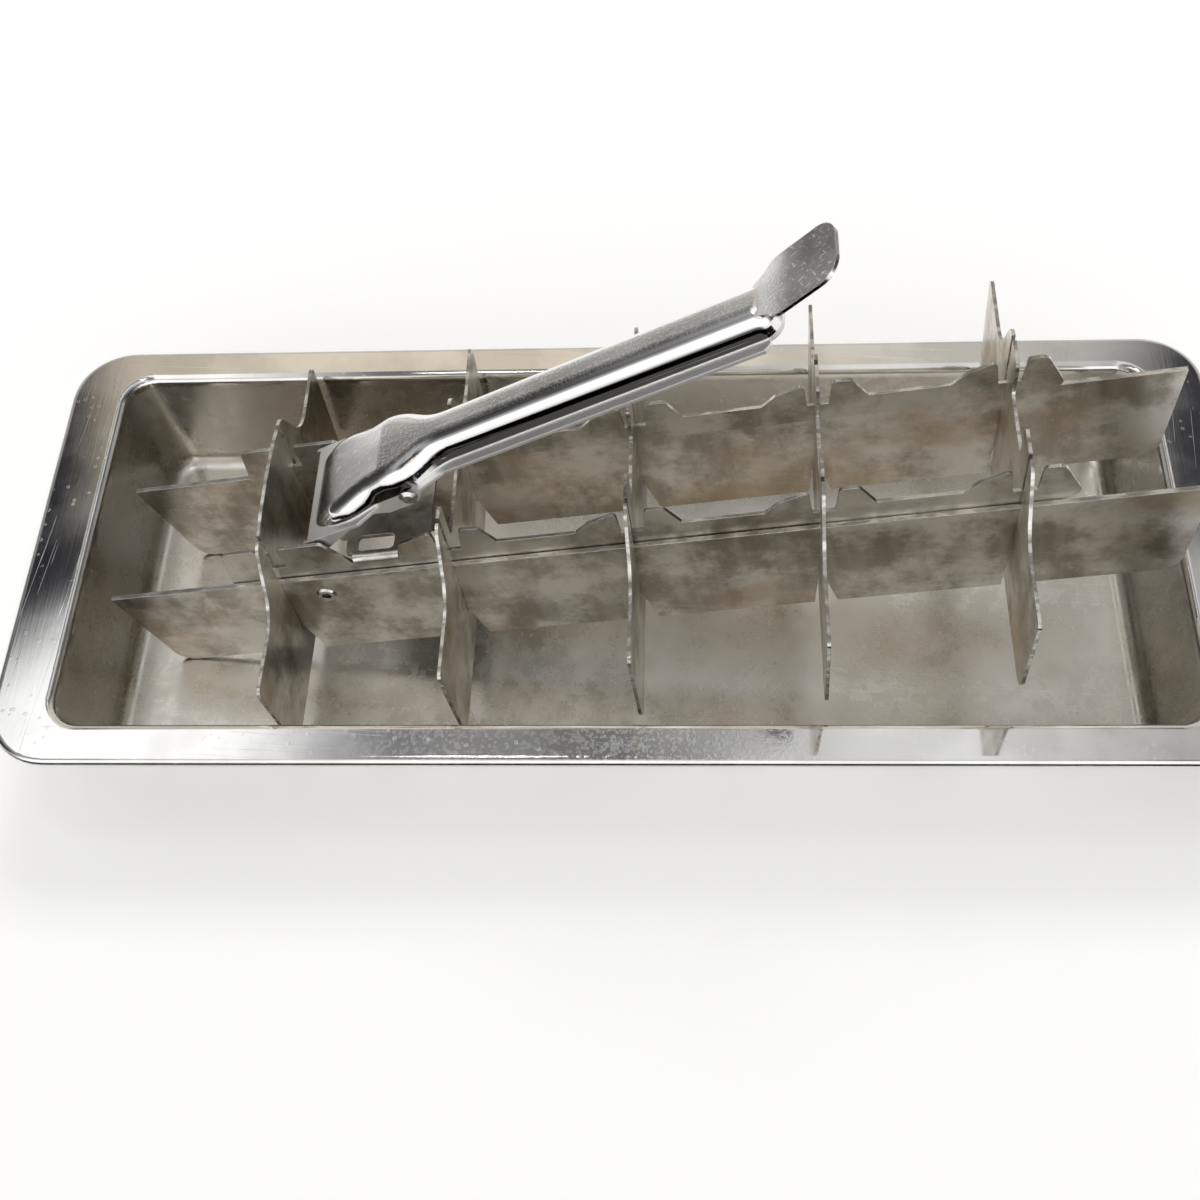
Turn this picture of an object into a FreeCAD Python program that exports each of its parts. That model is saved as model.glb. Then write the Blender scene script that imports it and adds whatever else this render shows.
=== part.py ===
import FreeCAD, Part
import math
import operator
import os

import Sketcher
from FreeCAD import Placement, Rotation, Vector

# Lever ice cube tray: a drawn sheet pan, and in it a lift-out grid of two long dividers and five
# cross walls that a lever on the grid tips to crack the ice loose.
#
# The origin is the middle of the pan's underside, +Z up, +X along the pan towards the lever's
# free end, +Y towards the back. The pieces of the grid are drawn in the grid's own frame: X along
# the dividers' top edge, Z up from that edge, origin in its middle. The whole grid is then placed
# once, raised at the right-hand end.

SIZES = {
    # Pan: flat rim, drafted basin and the curled outer edge.
    "pan_length": 280.0,
    "pan_width": 114.7,
    "pan_height": 30.4,
    "pan_sheet": 0.9,
    "rim_end": 12.4,
    "rim_side": 7.9,
    "rim_corner": 13.0,
    "basin_corner": 7.0,
    "basin_end_angle": 9.0,
    "basin_side_angle": 7.0,
    "basin_floor_bend": 4.0,
    "rim_bend": 1.8,
    "curl_radius": 1.7,
    "curl_turn": 260.0,
    # How the grid stands in the pan: raised at the right, on the dividers' left feet.
    "grid_tilt": 9.476,
    "grid_shift": 1.45,
    "foot_gap": 0.3,
    # Long dividers.
    "divider_length": 246.0,
    "divider_depth": 29.3,
    "divider_sheet": 1.1,
    "divider_spacing": 31.2,
    "divider_end_angle": 9.0,
    "divider_foot_bend": 5.0,
    # Cross walls: all hang on one row of hinge lines, and lean by the same angle.
    "wall_pitch": 41.4,
    "wall_sheet": 0.8,
    "wall_lean_angle": 6.5,
    "wall_swing_angle": 10.6,
    "hinge_depth": 18.5,
    "wall_foot": 10.5,
    "wall_half_width": 46.5,
    "wall_side_angle": 5.0,
    "wall_wing_top": 2.5,
    "wall_horn_top": 17.0,
    "wall_horn_half": 18.6,
    "wall_foot_bend": 5.0,
    "wall_valley_width": 8.0,
    "wall_valley_drop": 0.6,
    "wall_tip_round": 1.5,
    "wall_sweep_round": 9.0,
    "wall_horn_round": 3.5,
    "saddle_lip_round": 1.2,
    "saddle_round": 1.5,
    "saddle_half": 8.0,
    "saddle_floor": 7.8,
    "wide_saddle_half": 11.3,
    "wide_saddle_floor": 4.4,
    "end_wall_crown": 18.8,
    "crown_half": 9.0,
    "crown_drop": 0.4,
    # Slide frame: two notched strips joined by a bridge plate.
    "strip_sheet": 0.8,
    "strip_spacing": 28.8,
    "strip_foot": -1.0,
    "strip_crest": 11.2,
    "strip_low": 5.5,
    "notch_floor": 4.2,
    "notch_width": 5.0,
    "strip_tab": 10.5,
    "strip_tab_drop": 2.0,
    "strip_tab_lean": 2.5,
    "strip_tab_foot": 9.0,
    "strip_round": 1.8,
    "crest_round": 1.0,
    "notch_lean": 1.4,
    "crest_run": 4.1,
    "valley_fall": 3.1,
    "valley_run": 17.9,
    "valley_rise": 3.5,
    "valley_shelf": 2.6,
    "neck_fall": 5.2,
    "neck_shelf": 8.0,
    "end_slope": 3.6,
    "end_low": 2.0,
    "end_foot": 4.6,
    "bridge_left": -63.2,
    "bridge_right": -43.5,
    "bridge_top": 4.4,
    "neck_left": -61.6,
    "neck_width": 10.8,
    "neck_bend": 1.6,
    "window_length": 8.7,
    "window_width": 4.1,
    "window_round": 1.2,
    "window_inset": 0.6,
    "bridge_round": 1.0,
    # Lever: drawn with its fulcrum as the origin and the handle along +X.
    "fulcrum_along": -71.5,
    "fulcrum_depth": 6.5,
    "lever_angle": 19.65,
    "lever_sheet": 0.9,
    "handle_end": 126.0,
    "handle_top": 22.05,
    "handle_foot": 14.7,
    "handle_half": 5.25,
    "handle_round": 4.0,
    "lever_sweep": 15.0,
    "hood_round": 14.0,
    "lip_reach": 2.4,
    "shoulder_half": 9.75,
    "shoulder_start": 26.0,
    "shoulder_end": 35.5,
    "shoulder_foot": 11.7,
    "waist_run": 9.0,
    "nose_half": 11.6,
    "nose_front": 7.0,
    "nose_foot": 10.6,
    "ear_sheet": 0.8,
    "ear_half": 13.3,
    "ear_round": 4.2,
    "tongue_length": 18.6,
    "tongue_width": 14.4,
    "tongue_rise_angle": 17.5,
    "tongue_corner": 4.5,
    "tongue_overlap": 3.0,
    "tongue_root": 3.6,
    "tongue_setback": 1.0,
    "pin_along": 34.6,
    "pin_height": 14.4,
    "pin_radius": 1.3,
    "pin_head": 2.1,
    "pin_head_rise": 0.9,
    # Hollow rivets that carry the lever on the dividers.
    "eyelet_radius": 1.7,
    "eyelet_bore": 1.1,
    "eyelet_flange": 2.45,
    "eyelet_flange_rise": 0.5,
    # Clearances.
    "running_gap": 0.1,
    "slot_gap": 0.15,
    "seat_gap": 0.05,
}

WALLS = 5


class Size:
    """A number with the sheet formula behind it, so that an outline stays tied to the sheet."""

    def __init__(self, number, formula):
        self.number = float(number)
        self.formula = formula

    def joined(self, sign, left, right):
        action = {"+": operator.add, "-": operator.sub, "*": operator.mul, "/": operator.truediv}
        left, right = sized(left), sized(right)
        formula = "(%s %s %s)" % (left.formula, sign, right.formula)
        return Size(action[sign](left.number, right.number), formula)

    def __add__(self, other):
        return self.joined("+", self, other)

    def __radd__(self, other):
        return self.joined("+", other, self)

    def __sub__(self, other):
        return self.joined("-", self, other)

    def __rsub__(self, other):
        return self.joined("-", other, self)

    def __mul__(self, other):
        return self.joined("*", self, other)

    def __rmul__(self, other):
        return self.joined("*", other, self)

    def __truediv__(self, other):
        return self.joined("/", self, other)

    def __rtruediv__(self, other):
        return self.joined("/", other, self)

    def __neg__(self):
        return self.joined("-", 0, self)


def sized(value):
    return value if isinstance(value, Size) else Size(value, "%.6f" % value)


def number(value):
    return sized(value).number


def tangent(angle):
    return Size(math.tan(math.radians(number(angle))), "tan(%s)" % sized(angle).formula)


def sine(angle):
    return Size(math.sin(math.radians(number(angle))), "sin(%s)" % sized(angle).formula)


def cosine(angle):
    return Size(math.cos(math.radians(number(angle))), "cos(%s)" % sized(angle).formula)


class Sizes:
    """The driving dimensions by name: S.pan_length and so on."""

    def __init__(self, table):
        for name, value in table.items():
            setattr(self, name, Size(value, "Sizes." + name))


S = Sizes(SIZES)
doc = FreeCAD.newDocument("lever_ice_cube_tray")
parts = []


def fill_sheet():
    sheet = doc.addObject("Spreadsheet::Sheet", "Sizes")
    for row, (name, value) in enumerate(SIZES.items(), start=1):
        sheet.set("A%d" % row, name)
        sheet.set("B%d" % row, str(value))
        sheet.setAlias("B%d" % row, name)
    doc.recompute()


# ---- sketches ----------------------------------------------------------------------------------


def new_body(name, placement=None):
    body = doc.addObject("PartDesign::Body", name)
    body.Label = name
    body.Placement = placement or Placement()
    parts.append(body)
    return body


def new_sketch(body, name, plane, offset=0):
    """Empty sketch on one of the body's own planes, moved along the plane's normal."""
    sketch = body.newObject("Sketcher::SketchObject", name)
    base = [item for item in body.Origin.OriginFeatures if item.Role == plane][0]
    sketch.AttachmentSupport = [(base, "")]
    sketch.MapMode = "FlatFace"
    sketch.setExpression("AttachmentOffset.Base.z", sized(offset).formula)
    doc.recompute()
    return sketch


def hold(sketch, kind, geometry, point, value):
    """Dimension from the sketch's origin to a point, bound to the sheet."""
    index = sketch.addConstraint(Sketcher.Constraint(kind, -1, 1, geometry, point, number(value)))
    sketch.setExpression("Constraints[%d]" % index, sized(value).formula)


def polygon(sketch, points):
    """Closed outline of straight lines through the points."""
    first = sketch.GeometryCount
    corners = [Vector(number(x), number(y), 0) for x, y in points]
    for start, end in zip(corners, corners[1:] + corners[:1]):
        sketch.addGeometry(Part.LineSegment(start, end))
    count = len(corners)
    for i in range(count):
        after = first + (i + 1) % count
        sketch.addConstraint(Sketcher.Constraint("Coincident", first + i, 2, after, 1))
    for i, (x, y) in enumerate(points):
        hold(sketch, "DistanceX", first + i, 1, x)
        hold(sketch, "DistanceY", first + i, 1, y)


def mirrored_polygon(sketch, points):
    """The outline and its reflection in the sketch's vertical axis, as two closed loops."""
    polygon(sketch, points)
    polygon(sketch, [(-x, y) for x, y in points])


def circle(sketch, x, y, radius):
    centre = Vector(number(x), number(y), 0)
    index = sketch.addGeometry(Part.Circle(centre, Vector(0, 0, 1), number(radius)))
    hold(sketch, "DistanceX", index, 3, x)
    hold(sketch, "DistanceY", index, 3, y)
    size = sketch.addConstraint(Sketcher.Constraint("Radius", index, number(radius)))
    sketch.setExpression("Constraints[%d]" % size, sized(radius).formula)


def rounded_rectangle(sketch, length, width, radius, x=0, y=0):
    """Rectangle about (x, y) with four equal tangent corners."""
    left, right = x - length / 2, x + length / 2
    low, high = y - width / 2, y + width / 2
    r = number(radius)
    first = sketch.GeometryCount
    x0, x1, y0, y1 = number(left), number(right), number(low), number(high)
    corners = [(x1 - r, y0 + r, -90), (x1 - r, y1 - r, 0), (x0 + r, y1 - r, 90), (x0 + r, y0 + r, 180)]
    sides = [((x0 + r, y0), (x1 - r, y0)), ((x1, y0 + r), (x1, y1 - r)),
             ((x1 - r, y1), (x0 + r, y1)), ((x0, y1 - r), (x0, y0 + r))]
    for (start, end), (cx, cy, turn) in zip(sides, corners):
        sketch.addGeometry(Part.LineSegment(Vector(*start, 0), Vector(*end, 0)))
        bend = Part.Circle(Vector(cx, cy, 0), Vector(0, 0, 1), r)
        span = math.radians(turn), math.radians(turn + 90)
        sketch.addGeometry(Part.ArcOfCircle(bend, *span))
    for i in range(8):
        after = first + (i + 1) % 8
        sketch.addConstraint(Sketcher.Constraint("Tangent", first + i, 2, after, 1))
    for side, level in enumerate(("Horizontal", "Vertical", "Horizontal", "Vertical")):
        sketch.addConstraint(Sketcher.Constraint(level, first + 2 * side))
    for corner in (3, 5, 7):
        sketch.addConstraint(Sketcher.Constraint("Equal", first + 1, first + corner))
    size = sketch.addConstraint(Sketcher.Constraint("Radius", first + 1, r))
    sketch.setExpression("Constraints[%d]" % size, sized(radius).formula)
    hold(sketch, "DistanceY", first, 1, low)
    hold(sketch, "DistanceX", first + 2, 1, right)
    hold(sketch, "DistanceY", first + 4, 1, high)
    hold(sketch, "DistanceX", first + 6, 1, left)


# ---- features ----------------------------------------------------------------------------------


def feature(body, kind, name, profile=None):
    made = body.newObject("PartDesign::" + kind, name)
    if profile is not None:
        made.Profile = profile
    return made


def pad(body, sketch, length, midplane=False, reverse=False):
    made = feature(body, "Pad", sketch.Name + "_pad", sketch)
    made.setExpression("Length", sized(length).formula)
    made.SideType = "Symmetric" if midplane else "One side"
    made.Reversed = reverse
    doc.recompute()
    return made


def pocket(body, sketch, length=None, midplane=False, reverse=False):
    """Cut of a given depth, or right through when no depth is given."""
    before = body.Shape.Volume
    made = feature(body, "Pocket", sketch.Name + "_cut", sketch)
    made.Type = "ThroughAll" if length is None else "Length"
    if length is not None:
        made.setExpression("Length", sized(length).formula)
    made.SideType = "Symmetric" if midplane else "One side"
    made.Reversed = reverse
    doc.recompute()
    if not body.Shape.Volume < before - 1e-3:
        raise RuntimeError(sketch.Name + " cuts nothing")
    return made


def fillet(body, name, radius, wanted):
    """Round every edge of the body that the test wanted(edge) picks."""
    tip = body.Tip
    edges = ["Edge%d" % i for i, edge in enumerate(tip.Shape.Edges, start=1) if wanted(edge)]
    if not edges:
        raise RuntimeError(name + " finds no edge")
    made = body.newObject("PartDesign::Fillet", name)
    made.Base = (tip, edges)
    made.setExpression("Radius", sized(radius).formula)
    doc.recompute()
    return made


def shell(body, name, sheet, open_faces, join="Arc"):
    """Hollow the body inwards to the sheet's thickness, open at the named faces."""
    tip = body.Tip
    made = body.newObject("PartDesign::Thickness", name)
    made.Base = (tip, open_faces)
    made.setExpression("Value", sheet.formula)
    made.Reversed = True
    made.Mode = "Skin"
    made.Join = join
    doc.recompute()


def near(value, target, slack=0.02):
    return abs(value - number(target)) < slack


def runs_along(edge, axis):
    """True for a straight edge parallel to the axis, 0 to 2 for X to Z."""
    if edge.Curve.TypeId != "Part::GeomLine":
        return False
    direction = edge.Curve.Direction
    return abs(abs(direction[axis]) - 1) < 1e-6


def corner_edge(axis, spots):
    """Test for straight edges along the axis that pass through one of the spots."""
    others = [i for i in range(3) if i != axis]

    def wanted(edge):
        if not runs_along(edge, axis):
            return False
        middle = edge.CenterOfMass
        return any(all(near(middle[i], spot[k]) for k, i in enumerate(others)) for spot in spots)

    return wanted


# ---- where the grid's pieces go ----------------------------------------------------------------


def grid_height():
    """Height of the top edge's middle that puts the dividers' left feet on the pan's floor."""
    bend = S.divider_foot_bend
    corner = S.divider_length / 2 - S.divider_depth * tangent(S.divider_end_angle)
    bend_along = corner - bend / tangent(45 + S.divider_end_angle / 2)
    bend_below = S.divider_depth - bend
    centre = bend_along * sine(S.grid_tilt) + bend_below * cosine(S.grid_tilt)
    return S.pan_sheet + S.foot_gap + bend + centre


def in_grid(along=0, side=0, height=0, turn=0):
    """Placement of a piece whose origin is at this point of the grid, tipped up by turn."""
    middle = Vector(number(S.grid_shift), 0, number(grid_height()))
    grid = Placement(middle, Rotation(Vector(0, 1, 0), -number(S.grid_tilt)))
    spot = Vector(number(along), number(side), number(height))
    return grid.multiply(Placement(spot, Rotation(Vector(0, 1, 0), -number(turn))))


def hinge_along(k):
    """Distance of cross wall k's hinge line from the grid's middle, counted from the left."""
    return S.wall_pitch * (k - (WALLS - 1) / 2)


# ---- pan ---------------------------------------------------------------------------------------


def make_pan():
    """Drawn pan: drafted basin with rounded corners, flat rim and a curl round the rim."""
    body = new_body("tray_pan")
    basin_length = S.pan_length - 2 * (S.rim_end - S.pan_sheet)
    basin_width = S.pan_width - 2 * (S.rim_side - S.pan_sheet)
    block = new_sketch(body, "basin_block", "XY_Plane", S.pan_height)
    rectangle(block, basin_length, basin_width)
    pad(body, block, S.pan_height, reverse=True)
    draft(body, "end_draft", S.basin_end_angle, 0)
    draft(body, "side_draft", S.basin_side_angle, 1)
    fillet(body, "basin_corners", S.basin_corner + S.pan_sheet,
           lambda e: e.BoundBox.ZLength > number(S.pan_height) / 2)
    fillet(body, "floor_bend", S.basin_floor_bend + S.pan_sheet, lambda e: flat_at(e, 0))
    shell(body, "basin_shell", S.pan_sheet, [top_face(body, S.pan_height)])
    rim = new_sketch(body, "rim_outline", "XY_Plane", S.pan_height)
    rounded_rectangle(rim, S.pan_length, S.pan_width, S.rim_corner)
    rounded_rectangle(rim, basin_length - S.pan_sheet, basin_width - S.pan_sheet,
                      S.basin_corner + S.pan_sheet / 2)
    pad(body, rim, S.pan_sheet, reverse=True)
    half = basin_length / 2 + 1, basin_width / 2 + 1
    fillet(body, "rim_bend", S.rim_bend, lambda e: flat_at(e, S.pan_height) and inside(e, half))
    curl(body)


def rectangle(sketch, length, width):
    x, y = length / 2, width / 2
    polygon(sketch, [(-x, -y), (x, -y), (x, y), (-x, y)])


def top_face(body, height):
    faces = enumerate(body.Shape.Faces, start=1)
    return ["Face%d" % i for i, face in faces if near(face.BoundBox.ZMin, height)][0]


def draft(body, name, angle, axis):
    """Lean the two faces that face along the axis inwards, below the rim."""
    tip = body.Tip
    faces = enumerate(tip.Shape.Faces, start=1)
    upright = ["Face%d" % i for i, face in faces if abs(face.normalAt(0, 0)[axis]) > 0.9]
    made = body.newObject("PartDesign::Draft", name)
    made.Base = (tip, upright)
    made.NeutralPlane = (tip, [top_face(body, S.pan_height)])
    made.setExpression("Angle", angle.formula)
    made.Reversed = True
    doc.recompute()


def flat_at(edge, height):
    box = edge.BoundBox
    return near(box.ZMin, height) and near(box.ZMax, height)


def inside(edge, half):
    box = edge.BoundBox
    across = max(abs(box.XMin), abs(box.XMax)) < number(half[0])
    return across and max(abs(box.YMin), abs(box.YMax)) < number(half[1])


def curl(body):
    """The rim's outer edge, curled down and under into a hollow bead."""
    path = new_sketch(body, "curl_path", "XY_Plane", S.pan_height)
    rounded_rectangle(path, S.pan_length, S.pan_width, S.rim_corner)
    profile = new_sketch(body, "curl_profile", "YZ_Plane", S.pan_length / 2 - S.rim_corner)
    edge = -S.pan_width / 2
    centre = Vector(number(edge), number(S.pan_height - S.curl_radius), 0)
    outer = number(S.curl_radius)
    inner = outer - number(S.pan_sheet)
    span = math.radians(90), math.radians(90 + number(S.curl_turn))
    normal = Vector(0, 0, 1)
    big = profile.addGeometry(Part.ArcOfCircle(Part.Circle(centre, normal, outer), *span))
    small = profile.addGeometry(Part.ArcOfCircle(Part.Circle(centre, normal, inner), *span))
    ends = []
    for angle in span:
        way = Vector(math.cos(angle), math.sin(angle), 0)
        ends.append(profile.addGeometry(Part.LineSegment(centre + way * outer, centre + way * inner)))
    join = Sketcher.Constraint
    profile.addConstraint(join("Coincident", big, 3, small, 3))
    for point, line in ((1, ends[0]), (2, ends[1])):
        profile.addConstraint(join("Coincident", line, 1, big, point))
        profile.addConstraint(join("Coincident", line, 2, small, point))
    profile.addConstraint(join("Vertical", ends[0]))
    hold(profile, "DistanceX", big, 3, edge)
    hold(profile, "DistanceY", big, 3, S.pan_height - S.curl_radius)
    for arc, radius in ((big, S.curl_radius), (small, S.curl_radius - S.pan_sheet)):
        size = profile.addConstraint(join("Radius", arc, number(radius)))
        profile.setExpression("Constraints[%d]" % size, radius.formula)
    pipe = feature(body, "AdditivePipe", "rim_curl", profile)
    pipe.Spine = (path, [""])
    doc.recompute()


# ---- long dividers and their rivets ------------------------------------------------------------


def make_divider(name, side):
    """Long divider with a slot from below at each cross wall and a hole for the rivet."""
    body = new_body(name, in_grid(side=side * S.divider_spacing / 2))
    half = S.divider_length / 2
    foot = half - S.divider_depth * tangent(S.divider_end_angle)
    outline = new_sketch(body, name + "_outline", "XZ_Plane")
    polygon(outline, [(-half, 0), (half, 0), (foot, -S.divider_depth), (-foot, -S.divider_depth)])
    pad(body, outline, S.divider_sheet, midplane=True)
    corners = [(-foot, -S.divider_depth), (foot, -S.divider_depth)]
    fillet(body, name + "_feet", S.divider_foot_bend, corner_edge(1, corners))
    slots = new_sketch(body, name + "_slots", "XZ_Plane")
    throat = S.wall_sheet / 2 + S.slot_gap
    apex, below = -S.hinge_depth + throat, -S.divider_depth - 1
    mouth = throat + (-S.hinge_depth - below) * tangent(S.wall_swing_angle)
    for k in range(WALLS):
        x = hinge_along(k)
        polygon(slots, [(x - throat, apex), (x + throat, apex), (x + throat, -S.hinge_depth),
                        (x + mouth, below), (x - mouth, below), (x - throat, -S.hinge_depth)])
    pocket(body, slots, midplane=True)
    bore = new_sketch(body, name + "_rivet_hole", "XZ_Plane")
    circle(bore, S.fulcrum_along, -S.fulcrum_depth, S.eyelet_radius)
    pocket(body, bore, midplane=True)


def make_eyelet(name, side):
    """Hollow rivet, flanged outside the divider and clinched inside the lever's ear."""
    outside = S.divider_spacing / 2 + S.divider_sheet / 2
    ear_face = S.divider_spacing / 2 - S.divider_sheet / 2 - S.running_gap - S.ear_sheet
    clinch = ear_face - S.running_gap
    turn = Rotation(Vector(0, 0, 1), 0 if side < 0 else 180)
    spot = in_grid(S.fulcrum_along, 0, -S.fulcrum_depth).multiply(Placement(Vector(), turn))
    body = new_body(name, spot)
    section = new_sketch(body, name + "_section", "XY_Plane")
    rise, flange = S.eyelet_flange_rise, S.eyelet_flange
    polygon(section, [
        (S.eyelet_bore, -outside - rise), (flange - rise, -outside - rise), (flange, -outside),
        (S.eyelet_radius, -outside), (S.eyelet_radius, -clinch),
        (flange, -clinch), (flange - rise, -clinch + rise), (S.eyelet_bore, -clinch + rise)])
    turned = feature(body, "Revolution", name + "_turned", section)
    turned.ReferenceAxis = (section, ["V_Axis"])
    turned.Angle = 360
    doc.recompute()


# ---- cross walls -------------------------------------------------------------------------------


def make_wall(k):
    """Cross wall drawn from its hinge line: wings, horns, a saddle for the lever and its slots."""
    name = "cross_wall_%d" % (k + 1)
    spot = in_grid(hinge_along(k), 0, -S.hinge_depth, -S.wall_lean_angle)
    body = new_body(name, spot)
    wing = S.hinge_depth + S.wall_wing_top
    horn = S.hinge_depth + S.wall_horn_top
    taper = tangent(S.wall_side_angle)
    foot_half = S.wall_half_width - (wing + S.wall_foot) * taper
    valley = S.wall_horn_half + S.wall_valley_width
    dip = wing - S.wall_valley_drop
    outline = new_sketch(body, name + "_outline", "YZ_Plane")
    wing_side = [(foot_half, -S.wall_foot), (S.wall_half_width, wing), (valley, dip),
                 (S.wall_horn_half, horn)]
    if k == 0:
        crown = S.hinge_depth + S.end_wall_crown
        shoulder = crown - S.crown_drop
        middle = [(S.crown_half, shoulder), (0, crown), (-S.crown_half, shoulder)]
    else:
        half, floor = saddle(k)
        middle = [(half, horn), (half, floor), (-half, floor), (-half, horn)]
    other = [(-y, z) for y, z in reversed(wing_side)]
    polygon(outline, wing_side + middle + other)
    pad(body, outline, S.wall_sheet, midplane=True)
    soften_wall(body, name, k, foot_half, (valley, dip), wing, horn)
    cut_wall_slots(body, name)


def saddle(k):
    """Half width and floor of the cut-out under the lever; the shoulder's wall has a wider one."""
    if k == 1:
        return S.wide_saddle_half, S.hinge_depth + S.wide_saddle_floor
    return S.saddle_half, S.hinge_depth + S.saddle_floor


def soften_wall(body, name, k, foot_half, valley, wing, horn):
    """Rounded feet, the sweep from wing to horn, rounded horns and saddle corners."""
    def both(y, z):
        return [(y, z), (-y, z)]

    fillet(body, name + "_feet", S.wall_foot_bend, corner_edge(0, both(foot_half, -S.wall_foot)))
    tips = corner_edge(0, both(S.wall_half_width, wing))
    fillet(body, name + "_tips", S.wall_tip_round, tips)
    fillet(body, name + "_sweep", S.wall_sweep_round, corner_edge(0, both(*valley)))
    horns = corner_edge(0, both(S.wall_horn_half, horn))
    fillet(body, name + "_horns", S.wall_horn_round, horns)
    if k > 0:
        half, floor = saddle(k)
        fillet(body, name + "_saddle_lips", S.saddle_lip_round, corner_edge(0, both(half, horn)))
        fillet(body, name + "_saddle", S.saddle_round, corner_edge(0, both(half, floor)))


def cut_wall_slots(body, name):
    """Slots for the long dividers, open at the top, with a pocket beside each for its strip."""
    near_face = S.divider_spacing / 2 - S.divider_sheet / 2 - S.slot_gap
    far_face = S.divider_spacing / 2 + S.divider_sheet / 2 + S.slot_gap
    strip_face = S.strip_spacing / 2 - S.strip_sheet / 2 - S.slot_gap
    above = S.hinge_depth + S.wall_horn_top + 5
    pocket_foot = S.hinge_depth + S.strip_foot - 4 * S.slot_gap
    pocket_head = S.hinge_depth + S.notch_floor + 4 * S.slot_gap
    slots = new_sketch(body, name + "_slots", "YZ_Plane")
    mirrored_polygon(slots, [
        (far_face, above), (far_face, 0), (near_face, 0), (near_face, pocket_foot),
        (strip_face, pocket_foot), (strip_face, pocket_head), (near_face, pocket_head),
        (near_face, above)])
    pocket(body, slots, midplane=True)


# ---- slide frame -------------------------------------------------------------------------------


def make_slide():
    """Two notched strips folded up from one bridge plate, each fold beside a window."""
    body = new_body("slide_frame", in_grid())
    plate = new_sketch(body, "bridge_outline", "XY_Plane", S.bridge_top)
    bend_line = S.strip_spacing / 2 + S.strip_sheet / 2 - S.neck_bend
    length = S.bridge_right - S.bridge_left
    middle = (S.bridge_right + S.bridge_left) / 2
    rounded_rectangle(plate, length, 2 * bend_line, S.bridge_round, x=middle)
    pad(body, plate, S.strip_sheet, reverse=True)
    neck_bends(body, bend_line)
    window = new_sketch(body, "bridge_windows", "XY_Plane", S.bridge_top + 1)
    across = bend_line - S.window_inset - S.window_width / 2
    centre = S.neck_left + S.neck_width / 2
    for side in (1, -1):
        rounded_rectangle(window, S.window_length, S.window_width, S.window_round,
                          x=centre, y=side * across)
    pocket(body, window, S.strip_sheet + 2)
    for side in (1, -1):
        strip(body, side)


def neck_bends(body, bend_line):
    """Quarter-round folds from the plate down into the strips' necks."""
    for side, word in ((1, "back"), (-1, "front")):
        fold = new_sketch(body, word + "_fold", "YZ_Plane", S.neck_left)
        centre = Vector(side * number(bend_line), number(S.bridge_top - S.neck_bend), 0)
        outer, inner = number(S.neck_bend), number(S.neck_bend - S.strip_sheet)
        span = (0, math.pi / 2) if side > 0 else (math.pi / 2, math.pi)
        big = fold.addGeometry(arc(centre, outer, span))
        small = fold.addGeometry(arc(centre, inner, span))
        join = Sketcher.Constraint
        fold.addConstraint(join("Coincident", big, 3, small, 3))
        for point, angle in ((1, span[0]), (2, span[1])):
            way = Vector(math.cos(angle), math.sin(angle), 0)
            line = fold.addGeometry(Part.LineSegment(centre + way * outer, centre + way * inner))
            fold.addConstraint(join("Coincident", line, 1, big, point))
            fold.addConstraint(join("Coincident", line, 2, small, point))
            upright = abs(math.cos(angle)) < 0.5
            fold.addConstraint(join("Vertical" if upright else "Horizontal", line))
        hold(fold, "DistanceX", big, 3, side * bend_line)
        hold(fold, "DistanceY", big, 3, S.bridge_top - S.neck_bend)
        for geometry, radius in ((big, S.neck_bend), (small, S.neck_bend - S.strip_sheet)):
            size = fold.addConstraint(join("Radius", geometry, number(radius)))
            fold.setExpression("Constraints[%d]" % size, radius.formula)
        pad(body, fold, S.neck_width)


def arc(centre, radius, span):
    return Part.ArcOfCircle(Part.Circle(centre, Vector(0, 0, 1), radius), *span)


def strip(body, side):
    """Notched strip: a notch for each cross wall, crests beside it and a low run between."""
    word = "back" if side > 0 else "front"
    outline = new_sketch(body, word + "_strip", "XZ_Plane",
                         -side * (S.strip_spacing / 2 + S.strip_sheet / 2))
    polygon(outline, strip_points())
    pad(body, outline, S.strip_sheet, reverse=side < 0)
    left = hinge_along(0) + notch_start() - S.strip_tab
    tab = [(left, S.strip_foot - S.strip_tab_drop), (left + S.strip_tab_lean, S.strip_crest)]
    slope = strip_end() + S.crest_run
    ends = [(slope, S.strip_crest), (slope + S.end_slope, S.end_low)]
    fillet(body, word + "_ends", S.strip_round, corner_on_strip(side, tab + ends))
    crests = [(x, y) for x, y in strip_points() if y is S.strip_crest][1:-1]
    fillet(body, word + "_crests", S.crest_round, corner_on_strip(side, crests))


def corner_on_strip(side, spots):
    test = corner_edge(1, spots)
    return lambda edge: test(edge) and edge.CenterOfMass.y * side > 0


def notch_start():
    """Left side of a notch from its wall's hinge line, centred on the leaning wall."""
    lean = (S.hinge_depth + (S.notch_floor + S.strip_crest) / 2) * tangent(S.wall_lean_angle)
    return lean - S.notch_width / 2


def strip_end():
    """Where the crest beyond the last wall's notch starts."""
    return hinge_along(WALLS - 1) + notch_start() + S.notch_width + S.notch_lean


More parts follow.
